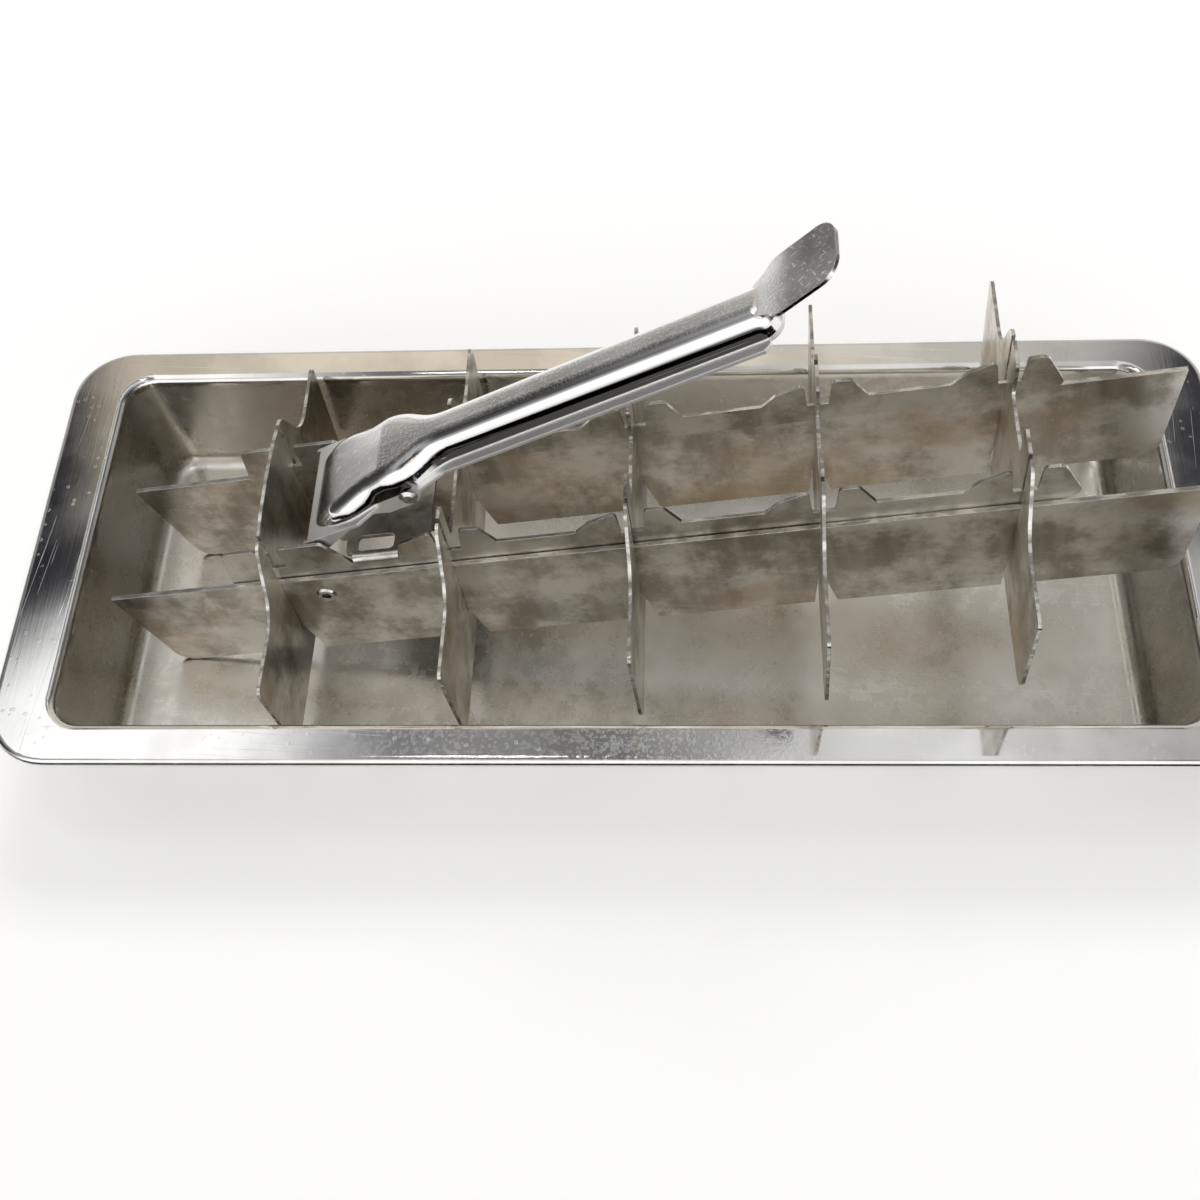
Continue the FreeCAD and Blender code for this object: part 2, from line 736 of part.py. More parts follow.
def strip_points():
    crest, low, foot, floor = S.strip_crest, S.strip_low, S.strip_foot, S.notch_floor
    left = hinge_along(0) + notch_start() - S.strip_tab
    neck_top = S.bridge_top - S.neck_bend
    neck_right = S.neck_left + S.neck_width
    points = [(left, foot - S.strip_tab_drop), (left + S.strip_tab_lean, crest)]
    for k in range(WALLS):
        notch = hinge_along(k) + notch_start()
        after = notch + S.notch_width
        points += [(notch, crest), (notch, floor), (after, floor)]
        if k == 0:
            rise = neck_right + S.notch_lean
            points += [(after, crest), (S.neck_left - S.neck_fall, crest), (S.neck_left, neck_top),
                       (neck_right, neck_top), (rise, S.neck_shelf)]
        elif k < WALLS - 1:
            fall = after + S.notch_lean + S.crest_run
            valley = fall + S.valley_fall
            rise = valley + S.valley_run
            points += [(after + S.notch_lean, crest), (fall, crest), (valley, low), (rise, low),
                       (rise + S.valley_rise, crest - S.valley_shelf)]
        else:
            slope = strip_end() + S.crest_run
            points += [(strip_end(), crest), (slope, crest), (slope + S.end_slope, S.end_low),
                       (after + S.end_foot, foot)]
    points += [(left + S.strip_tab_foot, foot)]
    return points


# ---- lever -------------------------------------------------------------------------------------


def make_lever():
    """Pressed lever: hooded nose with two ears, shoulder, channel handle and a thumb tongue."""
    spot = in_grid(S.fulcrum_along, 0, -S.fulcrum_depth, S.lever_angle)
    body = new_body("lever_handle", spot)
    lever_form(body, "hood", 0)
    lips(body)
    core = doc.addObject("PartDesign::Body", "lever_core")
    lever_form(core, "core", S.lever_sheet)
    hollow = body.newObject("PartDesign::Boolean", "lever_hollow")
    hollow.Type = "Cut"
    hollow.setObjects([core])
    doc.recompute()
    flange_cut(body)
    ears(body)
    tongue(body)


def lever_form(body, word, inset):
    """The lever's outer form, or the same form one sheet smaller for the hollow inside it."""
    front = S.nose_front - 3 + inset
    top = S.handle_top - inset
    foot = S.shoulder_foot - 3
    plan = new_sketch(body, word + "_plan", "XY_Plane", foot)
    widths = [(S.handle_end - inset, S.handle_half), (S.shoulder_end + S.waist_run, S.handle_half),
              (S.shoulder_end, S.shoulder_half), (S.shoulder_start + 1, S.shoulder_half),
              (S.shoulder_start - 6, S.nose_half), (front, S.nose_half)]
    widths = [(x, half - inset) for x, half in widths]
    polygon(plan, widths + [(x, -y) for x, y in reversed(widths)])
    pad(body, plan, top - foot)
    for name, radius, spots in (("_shoulders", S.lever_sweep - inset, widths[2::2]),
                                ("_waists", S.lever_sweep + inset, widths[1:4:2])):
        both = [(x, y * side) for x, y in spots for side in (1, -1)]
        fillet(body, word + name, radius, corner_edge(2, both))
    hood_cut(body, word, inset)
    fillet(body, word + "_upper_round", S.handle_round - inset, handle_edges(inset))


def hood_cut(body, word, inset):
    """Slope the nose down from the shoulder, with soft ridges where the slope changes."""
    ridges = [(S.nose_front - 5 + 0.77 * inset, S.nose_foot - 2.8 - 0.64 * inset),
              (S.nose_front + 2 + 0.62 * inset, S.handle_top - 5.9 - 0.81 * inset),
              (S.shoulder_start - 11 + 0.31 * inset, S.handle_top - 3.1 - 0.96 * inset),
              (S.shoulder_start + 6 + 0.09 * inset, S.handle_top - inset)]
    over = S.handle_top + 5
    line = new_sketch(body, word + "_line", "XZ_Plane")
    polygon(line, ridges + [(S.shoulder_start + 6, over), (S.nose_front - 6, over)])
    pocket(body, line, midplane=True)
    fillet(body, word + "_ridges", S.hood_round - inset, corner_edge(1, ridges[1:]))


def handle_edges(inset):
    """Test for the handle's upper edges, which carry on round the hood, and its end's corners."""
    top, half, end = S.handle_top - inset, S.handle_half - inset, S.handle_end - inset
    along = corner_edge(0, [(half, top), (-half, top)])
    across = corner_edge(1, [(end, top)])
    upright = corner_edge(2, [(end, half), (end, -half)])
    return lambda edge: along(edge) or across(edge) or upright(edge)


def flange_cut(body):
    """Trim the flanges' lower edge: high along the handle, low at the shoulder."""
    far, under, start = S.handle_end + 5, S.shoulder_foot - 5, S.nose_front - 5
    fall = S.handle_foot - S.shoulder_foot
    line = new_sketch(body, "flange_line", "XZ_Plane")
    polygon(line, [(start, under), (far, under), (far, S.handle_foot),
                   (S.shoulder_end + fall, S.handle_foot), (S.shoulder_end, S.shoulder_foot),
                   (S.shoulder_start + fall / 2, S.shoulder_foot),
                   (S.shoulder_start - fall, S.handle_foot), (S.nose_front + 5, S.handle_foot),
                   (S.nose_front - 1, S.nose_foot), (start, S.nose_foot)])
    pocket(body, line, midplane=True)


def lips(body):
    """Outward lips, blanked right across before the hollow is taken out of them."""
    lip = new_sketch(body, "lever_lips", "XY_Plane", S.handle_foot)
    outer = S.handle_half + S.lip_reach
    start, end = S.shoulder_end + 2.5, S.handle_end - 3
    outlines = [
        [(end, outer - S.lip_reach / 2), (end - S.lip_reach / 2, outer),
         (S.shoulder_end + S.waist_run, outer), (start, S.shoulder_half + 0.2)],
        [(S.shoulder_start + 1, S.shoulder_half + 0.6), (S.shoulder_start - 4.5, S.ear_half),
         (S.nose_front, S.ear_half)]]
    for side_points in outlines:
        polygon(lip, side_points + [(x, -y) for x, y in reversed(side_points)])
    pad(body, lip, S.lever_sheet)


def ears(body):
    """Ears from the nose down to the fulcrum, each dished out to meet its divider."""
    reach = S.divider_spacing / 2 - S.divider_sheet / 2 - S.running_gap
    level = S.handle_foot + S.lever_sheet
    disc = S.ear_round
    points = [(S.nose_front - 1, level), (S.shoulder_start - 4.5, level), (9.3, S.handle_foot - 3.4),
              (8.0, 5.8), (disc * 0.8, -disc * 0.6), (0, -disc), (-disc * 0.8, -disc * 0.6),
              (-disc, 0), (-disc * 0.6, disc * 0.8)]
    for side, word in ((1, "back"), (-1, "front")):
        ear = new_sketch(body, word + "_ear", "XZ_Plane", -side * S.ear_half)
        polygon(ear, points)
        pad(body, ear, S.ear_sheet, reverse=side < 0)
        boss = new_sketch(body, word + "_boss", "XZ_Plane", -side * reach)
        circle(boss, 0, 0, disc)
        pad(body, boss, reach - S.ear_half + S.ear_sheet, reverse=side < 0)
        dish = new_sketch(body, word + "_dish", "XZ_Plane", -side * (S.ear_half - S.ear_sheet))
        circle(dish, 0, 0, disc - S.ear_sheet)
        pocket(body, dish, reach - S.ear_half, reverse=side < 0)
    bore = new_sketch(body, "fulcrum_bore", "XZ_Plane")
    circle(bore, 0, 0, S.eyelet_radius + S.seat_gap)
    pocket(body, bore, midplane=True)
    hole = new_sketch(body, "pin_hole", "XZ_Plane")
    circle(hole, S.pin_along, S.pin_height, S.pin_radius)
    pocket(body, hole, 2 * S.shoulder_half + 2, midplane=True)


def tongue(body):
    """Broad thumb tongue bent up from the handle's top, flared from a narrow root."""
    root = tongue_sketch(body, "tongue_root")
    half = S.tongue_width / 2
    polygon(root, [(-S.tongue_overlap, -S.tongue_root), (S.tongue_corner, -half),
                   (S.tongue_corner, half), (-S.tongue_overlap, S.tongue_root)])
    pad(body, root, S.lever_sheet, reverse=True)
    face = tongue_sketch(body, "tongue_face")
    rounded_rectangle(face, S.tongue_length, S.tongue_width, S.tongue_corner,
                      x=S.tongue_length / 2)
    pad(body, face, S.lever_sheet, reverse=True)


def tongue_sketch(body, name):
    """Sketch on the tongue's upper face, tilted up from the end of the handle's top."""
    face = new_sketch(body, name, "XY_Plane")
    face.AttachmentOffset = Placement(Vector(), Rotation(Vector(0, 1, 0), -number(S.tongue_rise_angle)))
    face.setExpression("AttachmentOffset.Base.x", (S.handle_end - S.tongue_setback).formula)
    face.setExpression("AttachmentOffset.Base.z", S.handle_top.formula)
    face.setExpression("AttachmentOffset.Rotation.Angle", (-S.tongue_rise_angle).formula)
    doc.recompute()
    return face


def make_pin():
    """Cross pin through the lever's shoulder, with a domed head on each side."""
    fulcrum = in_grid(S.fulcrum_along, 0, -S.fulcrum_depth, S.lever_angle)
    spot = Placement(Vector(number(S.pin_along), 0, number(S.pin_height)), Rotation())
    body = new_body("shoulder_pin", fulcrum.multiply(spot))
    face = S.shoulder_half
    head = S.shoulder_half + S.pin_head_rise
    section = new_sketch(body, "pin_section", "XY_Plane")
    polygon(section, [
        (0, -head), (S.pin_head * 0.6, -head), (S.pin_head, -face - S.pin_head_rise * 0.4),
        (S.pin_head, -face), (S.pin_radius, -face), (S.pin_radius, face), (S.pin_head, face),
        (S.pin_head, face + S.pin_head_rise * 0.4), (S.pin_head * 0.6, head), (0, head)])
    turned = feature(body, "Revolution", "pin_turned", section)
    turned.ReferenceAxis = (section, ["V_Axis"])
    turned.Angle = 360
    doc.recompute()


# ---- build, check and write --------------------------------------------------------------------


def check():
    for item in doc.Objects:
        if "Invalid" in item.State or "Error" in item.State:
            raise RuntimeError("%s did not compute: %s" % (item.Name, item.State))
    for body in parts:
        shape = body.Shape
        if shape.isNull() or not shape.isValid() or len(shape.Solids) != 1:
            raise RuntimeError("%s is not one valid solid" % body.Label)


def export():
    os.makedirs("parts", exist_ok=True)
    for body in parts:
        body.Shape.exportStep("parts/%s.step" % body.Label)
        print("%-18s %9.1f mm3" % (body.Label, body.Shape.Volume))


fill_sheet()
make_pan()
make_divider("front_long_divider", -1)
make_divider("back_long_divider", 1)
make_eyelet("front_eyelet", -1)
make_eyelet("back_eyelet", 1)
for wall in range(WALLS):
    make_wall(wall)
make_slide()
make_lever()
make_pin()
doc.recompute()
check()
export()
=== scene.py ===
import math

import bpy
from mathutils import Matrix, Vector


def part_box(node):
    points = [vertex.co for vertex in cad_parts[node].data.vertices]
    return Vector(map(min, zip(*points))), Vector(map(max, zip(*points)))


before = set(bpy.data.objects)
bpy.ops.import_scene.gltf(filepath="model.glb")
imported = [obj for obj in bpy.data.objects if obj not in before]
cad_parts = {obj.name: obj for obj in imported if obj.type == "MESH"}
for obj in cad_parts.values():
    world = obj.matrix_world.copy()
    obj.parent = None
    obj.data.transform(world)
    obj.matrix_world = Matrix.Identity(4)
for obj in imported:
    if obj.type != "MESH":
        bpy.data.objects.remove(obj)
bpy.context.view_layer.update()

# ---- Studio ------------------------------------------------------------------------------------
# A pale floor in a soft studio. Polished steel shows mostly what surrounds it, so the sky is a
# room: bright in front and overhead, warm grey behind and dim to both sides.

scene = bpy.context.scene
scene.view_settings.view_transform = "Standard"


class Signal:
    """A node's output that can stand in a sum or product, each operator adding its Math node."""

    def __init__(self, finish, socket):
        self.finish = finish
        self.socket = socket

    def combine(self, operation, *values):
        settings = {"operation": operation}
        return self.finish.node("ShaderNodeMath", settings, dict(enumerate(values)))

    def __add__(self, other):
        return self.combine("ADD", self, other)

    __radd__ = __add__

    def __sub__(self, other):
        return self.combine("SUBTRACT", self, other)

    def __rsub__(self, other):
        return self.combine("SUBTRACT", other, self)

    def __mul__(self, other):
        return self.combine("MULTIPLY", self, other)

    __rmul__ = __mul__

    def size(self):
        return self.combine("ABSOLUTE", self)

    def between(self, low, high):
        """0 below low, 1 above high and a soft step between them."""
        settings = {"interpolation_type": "SMOOTHSTEP"}
        return self.finish.node("ShaderNodeMapRange", settings,
                                {"Value": self, "From Min": low, "From Max": high})


class Finish:
    """A surface finish: a material's nodes, or the world's, made one at a time."""

    def __init__(self, owner):
        owner.use_nodes = True
        self.owner = owner
        self.tree = owner.node_tree
        self.tree.nodes.clear()

    def node(self, kind, settings=None, sockets=None, output=0):
        """Add a node, set it, link or fill its sockets, and give one of its outputs."""
        made = self.tree.nodes.new(kind)
        for name, value in (settings or {}).items():
            if name == "stops":
                ramp = made.color_ramp.elements
                while len(ramp) < len(value):
                    ramp.new(0.5)
                for stop, (position, colour) in zip(ramp, value):
                    stop.position = position
                    stop.color = (*colour, 1)
            else:
                setattr(made, name, value)
        for key, value in (sockets or {}).items():
            if isinstance(value, Signal):
                self.tree.links.new(value.socket, made.inputs[key])
            else:
                made.inputs[key].default_value = value
        return Signal(self, made.outputs[output]) if made.outputs else None

    def blend_colours(self, share, first, second):
        """Two colours mixed. A Mix node's colour sockets share their names, so go by place."""
        first = first if isinstance(first, Signal) else (*first, 1)
        second = second if isinstance(second, Signal) else (*second, 1)
        return self.node("ShaderNodeMix", {"data_type": "RGBA"}, {0: share, 6: first, 7: second}, 2)

    def layers(self, base, *coats):
        """A colour under coats, each with the share that it covers and its own colour."""
        for share, colour in coats:
            base = self.blend_colours(share, base, colour)
        return base

    def blend_shaders(self, share, first, second):
        return self.node("ShaderNodeMixShader", None, {0: share, 1: first, 2: second})

    def parts_of(self, vector):
        split = self.node("ShaderNodeSeparateXYZ", None, {"Vector": vector})
        return [Signal(self, out) for out in split.socket.node.outputs]


def seen_straight(finish):
    """What the lens sees straight, and what it sees in a polished or a clear surface."""
    paths = finish.node("ShaderNodeLightPath").socket.node.outputs
    sights = ("Is Camera Ray", "Is Glossy Ray", "Is Transmission Ray")
    return [Signal(finish, paths[sight]) for sight in sights]


sky = Finish(bpy.data.worlds.new("studio_sky"))
scene.world = sky.owner
to_right, to_back, to_top = sky.parts_of(sky.node("ShaderNodeTexCoord", output="Generated"))


def band(direction, tones):
    """Tones of the room from one side, -1, to the other, 1."""
    stops = [(0.5 + 0.5 * place, tone) for place, tone in tones]
    return sky.node("ShaderNodeValToRGB", {"stops": stops}, {"Fac": direction * 0.5 + 0.5})


ceiling = band(to_right, [
    (-0.50, (0.95, 0.95, 0.96)), (-0.29, (1.00, 1.00, 1.00)), (-0.24, (0.46, 0.46, 0.47)),
    (-0.20, (0.13, 0.13, 0.14)), (-0.13, (0.24, 0.24, 0.23)), (-0.06, (0.12, 0.12, 0.12)),
    (0.02, (0.38, 0.38, 0.38)), (0.10, (0.68, 0.68, 0.68)), (0.17, (0.66, 0.66, 0.66)),
    (0.25, (0.42, 0.41, 0.40)), (0.55, (0.20, 0.20, 0.20))])
high_walls = band(to_right, [
    (-0.66, (0.30, 0.30, 0.31)), (-0.50, (0.05, 0.055, 0.065)), (-0.42, (0.008, 0.010, 0.013)),
    (-0.375, (0.03, 0.03, 0.035)), (-0.345, (0.44, 0.39, 0.32)), (-0.25, (0.62, 0.55, 0.45)),
    (-0.02, (0.62, 0.55, 0.45)), (0.08, (0.55, 0.51, 0.44)), (0.20, (0.49, 0.47, 0.44)),
    (0.26, (0.28, 0.27, 0.26)), (0.285, (0.03, 0.03, 0.035)), (0.60, (0.09, 0.09, 0.09))])
low_walls = band(to_back, [
    (-1.00, (1.00, 1.00, 1.00)), (-0.63, (1.00, 1.00, 1.00)), (-0.50, (0.34, 0.34, 0.34)),
    (-0.30, (0.065, 0.065, 0.065)), (0.00, (0.03, 0.03, 0.03)), (0.30, (0.055, 0.055, 0.05)),
    (0.46, (0.13, 0.125, 0.12)), (0.66, (0.40, 0.39, 0.37)), (1.00, (0.50, 0.49, 0.46))])

# How steeply a direction rises where the low walls meet the high ones, and those the ceiling.
wall_joint = (0.52, 0.72)
ceiling_joint = (0.774, 0.806)
room_strength = 1.4
walls = sky.blend_colours(to_top.between(*wall_joint), low_walls, high_walls)
room = sky.blend_colours(to_top.between(*ceiling_joint), walls, ceiling)
room_light = sky.node("ShaderNodeBackground", None, {"Color": room, "Strength": room_strength})
seen_white = sky.node("ShaderNodeBackground", None, {"Color": (1, 1, 1, 1), "Strength": 1.0})

# The sky is white only where the lens sees it straight. Metal sees the room.
sky_surface = sky.blend_shaders(seen_straight(sky)[0], room_light, seen_white)
sky.node("ShaderNodeOutputWorld", None, {"Surface": sky_surface})


def sheet_on_stage(name, corners, height):
    """Flat rectangle that belongs to the studio."""
    (left, front), (right_end, back) = corners
    mesh = bpy.data.meshes.new(name)
    mesh.from_pydata([(left, front, height), (right_end, front, height), (right_end, back, height),
                      (left, back, height)], [], [(0, 1, 2, 3)])
    sheet = bpy.data.objects.new(name, mesh)
    scene.collection.objects.link(sheet)
    return sheet


# The floor lies a little below the pan's underside, so that they don't share a plane. It is lifted
# towards white for the lens and for metal, more so far out, and is clear from below.
floor_reach = 8.0
floor_height = -0.0002
floor_fade = (0.5, 2.0)
floor = sheet_on_stage("floor", ((-floor_reach, -floor_reach), (floor_reach, floor_reach)),
                       floor_height)
paper = Finish(bpy.data.materials.new("white_floor"))
paper_camera, paper_glossy, paper_through = seen_straight(paper)
paper_matte = paper.node("ShaderNodeBsdfDiffuse", None, {"Color": (0.90, 0.90, 0.895, 1)})
paper_place = paper.node("ShaderNodeTexCoord", output="Object")
paper_distance = paper.node("ShaderNodeVectorMath", {"operation": "LENGTH"},
                            {0: paper_place}, "Value")
paper_lights = paper.blend_colours(paper_distance.between(*floor_fade),
                                   (0.30, 0.30, 0.30), (0.52, 0.52, 0.53))
paper_glow = paper.node("ShaderNodeEmission", None, {"Color": paper_lights, "Strength": 1.0})
paper_lift = paper.node("ShaderNodeAddShader", None, {0: paper_matte, 1: paper_glow})
paper_surface = paper.blend_shaders(paper_camera + paper_glossy + paper_through,
                                    paper_matte, paper_lift)
from_below = paper.node("ShaderNodeNewGeometry", output="Backfacing")
paper_clear = paper.node("ShaderNodeBsdfTransparent", None, {"Color": (1, 1, 1, 1)})
paper_seen = paper.blend_shaders(from_below, paper_surface, paper_clear)
paper.node("ShaderNodeOutputMaterial", None, {"Surface": paper_seen})
floor.data.materials.append(paper.owner)

# A black card on the floor in front, shown only in metal: it darkens the lever's lower side and
# the rim's rolled edge, as cards do beside polished metal.
card_corners = ((-0.34, -0.26), (0.34, -0.086))
card_height = 0.001
card = sheet_on_stage("black_card", card_corners, card_height)
card.visible_camera = False
card.visible_diffuse = False
card.visible_shadow = False
card_black = Finish(bpy.data.materials.new("card_black"))
card_matte = card_black.node("ShaderNodeBsdfDiffuse", None, {"Color": (0.012, 0.012, 0.013, 1)})
card_black.node("ShaderNodeOutputMaterial", None, {"Surface": card_matte})
card.data.materials.append(card_black.owner)

lamps_aim = Vector((0, 0, 0.03))


def softbox(name, place, width, depth, power, in_metal):
    """Rectangular soft light aimed at the tray, which polished metal shows or doesn't."""
    lamp = bpy.data.lights.new(name, "AREA")
    lamp.shape = "RECTANGLE"
    lamp.size = width
    lamp.size_y = depth
    lamp.energy = power
    light = bpy.data.objects.new(name, lamp)
    light.location = place
    light.rotation_euler = (lamps_aim - Vector(place)).to_track_quat("-Z", "Y").to_euler()
    light.visible_glossy = in_metal
    scene.collection.objects.link(light)


softbox("back_softbox", (0.15, 0.70, 1.00), width=0.60, depth=0.40, power=3.6, in_metal=False)
softbox("glint_lamp", (-0.20, 0.10, 1.25), width=0.12, depth=0.12, power=0.5, in_metal=True)

lens_place = (0.0182, -0.2073, 0.3334)
lens_turn = math.radians(-6.86)
lens_down = math.radians(57.8)
lens_roll = math.radians(-6.13)
ahead = Vector((math.sin(lens_turn) * math.cos(lens_down),
                math.cos(lens_turn) * math.cos(lens_down), -math.sin(lens_down)))
level = Vector((math.cos(lens_turn), -math.sin(lens_turn), 0))
above = level.cross(ahead)
right = level * math.cos(lens_roll) + above * math.sin(lens_roll)
upward = above * math.cos(lens_roll) - level * math.sin(lens_roll)
camera = bpy.data.objects.new("camera", bpy.data.cameras.new("camera"))
camera.data.lens = 46.95
camera.data.sensor_width = 36.0
camera.data.clip_start = 0.01
lens_axes = Matrix((right, upward, -ahead)).transposed().to_4x4()
camera.matrix_world = Matrix.Translation(lens_place) @ lens_axes
scene.collection.objects.link(camera)
scene.camera = camera


# ---- Pan ---------------------------------------------------------------------------------------
# One deep-drawn sheet of stainless steel. The rim keeps a fine polish along its length, and the
# basin is duller, with soft draw marks on its walls and mineral film on its floor.

_, pan_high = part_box("tray_pan")
end_rim = 0.0124
rim_starts = pan_high.z - 0.0034
rim_full = pan_high.z - 0.0014
end_line = pan_high.x - end_rim
end_blend = 0.002

# Fine pale specks, as frost leaves, lie on the pan's front just left of its middle. They thin out
# sideways and inwards.
frost_shift = 0.005
frost_sides = (0.02, 0.06)
frost_inwards = (-0.04, -0.02)


def dress(nodes, finish):
    """Give CAD nodes one finish."""
    for name in nodes:
        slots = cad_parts[name].data.materials
        slots.clear()
        slots.append(finish.owner)


def noise(finish, place, scale, detail=4.0, roughness=0.5):
    return finish.node("ShaderNodeTexNoise", None,
                       {"Vector": place, "Scale": scale, "Detail": detail, "Roughness": roughness})


def grain(finish, place, stretch, scale, detail=4.0):
    """Noise drawn out along one direction: a brushed or rolled sheet's fine lines."""
    drawn = finish.node("ShaderNodeMapping", None, {"Vector": place, "Scale": stretch})
    return noise(finish, drawn, scale, detail)


def scratches(finish, place, turn, share):
    """Thin straight scratches along a direction, over more of the surface for a larger share."""
    turned = finish.node("ShaderNodeMapping", None, {"Vector": place, "Rotation": turn})
    lines = grain(finish, turned, (0.012, 1.0, 1.0), 1900, 2.0)
    return lines.between(0.80 - share, 0.84 - share)


def spots(finish, place, scale, share):
    """Small round marks that dried drops leave, in loose clusters."""
    drops = finish.node("ShaderNodeTexVoronoi", None, {"Vector": place, "Scale": scale})
    chance = finish.parts_of(Signal(finish, drops.socket.node.outputs["Color"]))[0]
    clusters = noise(finish, place, scale * 0.16, 2.0).between(0.46, 0.60)
    ring = drops.between(0.10, 0.17) - drops.between(0.22, 0.30)
    return ring * chance.between(1.0 - share, 1.04 - share) * clusters


def steel(finish, colour, roughness, relief, depth, edge_round, worn_colour=(0.86, 0.85, 0.83)):
    """Bare metal with its colour, roughness and relief. Its edges are a little round and rubbed."""
    rounded = finish.node("ShaderNodeBevel", {"samples": 4}, {"Radius": edge_round})
    sharp = finish.node("ShaderNodeNewGeometry", output="Normal")
    agree = finish.node("ShaderNodeVectorMath", {"operation": "DOT_PRODUCT"},
                        {0: rounded, 1: sharp}, "Value")
    rubbed = (1 - agree).between(0.02, 0.14)
    bumps = finish.node("ShaderNodeBump", None, {
        "Height": relief, "Strength": depth, "Distance": 0.0001, "Normal": rounded})
    surface = finish.node("ShaderNodeBsdfPrincipled", None, {
        "Base Color": finish.blend_colours(0.7 * rubbed, colour, worn_colour), "Metallic": 1.0,
        "Roughness": roughness - 0.3 * rubbed * roughness, "Normal": bumps})
    finish.node("ShaderNodeOutputMaterial", None, {"Surface": surface})


pan = Finish(bpy.data.materials.new("pan_drawn_steel"))
pan_place = pan.node("ShaderNodeTexCoord", output="Object")
pan_x, pan_y, pan_z = pan.parts_of(pan_place)
on_rim = pan_z.between(rim_starts, rim_full)
on_end = pan_x.size().between(end_line - end_blend, end_line + end_blend)
side_lines = grain(pan, pan_place, (0.05, 1.0, 1.0), 1500)
end_lines = grain(pan, pan_place, (1.0, 0.05, 1.0), 1500)
rim_lines = on_end * end_lines + (1 - on_end) * side_lines
rim_rubs = (on_end * scratches(pan, pan_place, (0, 0, math.radians(95)), 0.13)
            + (1 - on_end) * scratches(pan, pan_place, (0, 0, math.radians(4)), 0.13))
draw_marks = grain(pan, pan_place, (1.0, 1.0, 0.04), 700)
pan_film = noise(pan, pan_place, 30, 7.0, 0.62).between(0.40, 0.66)
fine_film = noise(pan, pan_place, 210, 6.0, 0.68).between(0.42, 0.62)
pan_spots = spots(pan, pan_place, 560, 0.45)
frost_patch = ((1 - (pan_x + frost_shift).size().between(*frost_sides))
               * (1 - pan_y.between(*frost_inwards)))
frost = frost_patch * noise(pan, pan_place, 1100, 3.0).between(0.48, 0.60)

basin_bare = pan.blend_colours(pan_film, (0.60, 0.57, 0.515), (0.73, 0.705, 0.66))
basin_colour = pan.blend_colours(0.16 * fine_film, basin_bare, (0.88, 0.865, 0.83))
rim_colour = pan.blend_colours(noise(pan, pan_place, 60, 5.0).between(0.40, 0.66),
                               (0.68, 0.675, 0.66), (0.80, 0.795, 0.785))
pan_colour = pan.layers(
    basin_colour,
    (on_rim, rim_colour),
    (0.30 * pan_spots + 0.25 * rim_rubs + 0.25 * frost, (0.90, 0.89, 0.87)))
rim_roughness = 0.035 + 0.03 * rim_lines + 0.05 * pan_film + 0.12 * frost
basin_roughness = 0.20 + 0.08 * pan_film + 0.10 * fine_film + 0.05 * draw_marks
pan_roughness = on_rim * rim_roughness + (1 - on_rim) * basin_roughness + 0.10 * pan_spots
pan_relief = (on_rim * (0.25 * rim_lines + 0.5 * rim_rubs + 0.6 * frost)
              + (1 - on_rim) * (draw_marks + 0.6 * fine_film) + 0.3 * pan_spots)
steel(pan, pan_colour, pan_roughness, pan_relief, depth=0.10, edge_round=0.0004)
dress(["tray_pan"], pan)


# ---- Long dividers -----------------------------------------------------------------------------
# Two plain strips of sheet, slotted from below. Their faces keep the rolled sheet's lengthwise
# grain and years of water stains, and their sheared edges are matt, painted dark as shade with
# painted glints along their nicks.

grid_tilt = math.radians(9.476)


def sheet_steel(name, flat_axis, tone=1.0, plate_side=0.0):
    """Rolled sheet of the grid, whose faces look along flat_axis: stained faces, matt edges.

    Nearer the middle than plate_side, what looks up or down is a face too, and not an edge.
    """
    def toned(*colour):
        return [part * tone for part in colour]

    finish = Finish(bpy.data.materials.new(name))
    place = finish.node("ShaderNodeTexCoord", output="Object")
    facing = finish.parts_of(finish.node("ShaderNodeTexCoord", output="Normal"))
    along = finish.node("ShaderNodeMapping", None, {"Vector": place, "Rotation": (0, grid_tilt, 0)})
    lines = grain(finish, along, (0.05, 1.0, 1.0), 1000)
    stains = noise(finish, place, 55, 8.0, 0.66)
    gilded = finish.node("ShaderNodeMapping", None,
                         {"Vector": along, "Location": (0.31, 0.17, 0.23), "Scale": (0.5, 1, 1)})
    gilding = noise(finish, gilded, 34, 6.0, 0.6).between(0.50, 0.66)
    runs = grain(finish, along, (1.0, 1.0, 0.10), 240, 5.0).between(0.42, 0.64)
    drops = spots(finish, place, 760, 0.5)
    rubs = scratches(finish, along, (0, math.radians(-14), 0), 0.14)
    nicks_and_glints = grain(finish, along, (0.16, 0.4, 0.4), 1100, 6.0).between(0.38, 0.64)

    # A plate between two strips ends at their inner faces, one sheet inside plate_side.
    across = finish.parts_of(place)[1].size()
    on_plate = 1 - across.between(plate_side - 0.0012, plate_side - 0.0008)
    edge = 1 - (facing[flat_axis].size() + on_plate * facing[2].size()).between(0.50, 0.80)
    face = 1 - edge

    # The edges' colour is painted light: dark painted shade, broken by painted glints where the
    # nicks are.
    edge_shade_and_glints = finish.blend_colours(nicks_and_glints, (0.30, 0.285, 0.26), (0.70, 0.685, 0.655))
    colour = finish.layers(
        toned(0.43, 0.39, 0.33),
        (stains.between(0.40, 0.60), toned(0.96, 0.93, 0.87)),
        (0.30 * runs, toned(0.90, 0.88, 0.84)),
        (0.6 * gilding, toned(0.62, 0.49, 0.33)),
        (0.40 * drops + 0.25 * rubs, (0.92, 0.90, 0.87)),
        (edge, edge_shade_and_glints))
    roughness = (face * (0.18 + 0.22 * stains + 0.05 * lines + 0.10 * drops)
                 + edge * (0.34 - 0.12 * nicks_and_glints))
    relief = lines + 0.5 * runs + 0.6 * drops + 0.4 * rubs + edge * nicks_and_glints
    steel(finish, colour, roughness, relief, depth=0.14, edge_round=0.00015,
          worn_colour=(0.66, 0.65, 0.62))
    return finish


dress(["front_long_divider", "back_long_divider"], sheet_steel("divider_sheet", flat_axis=1))


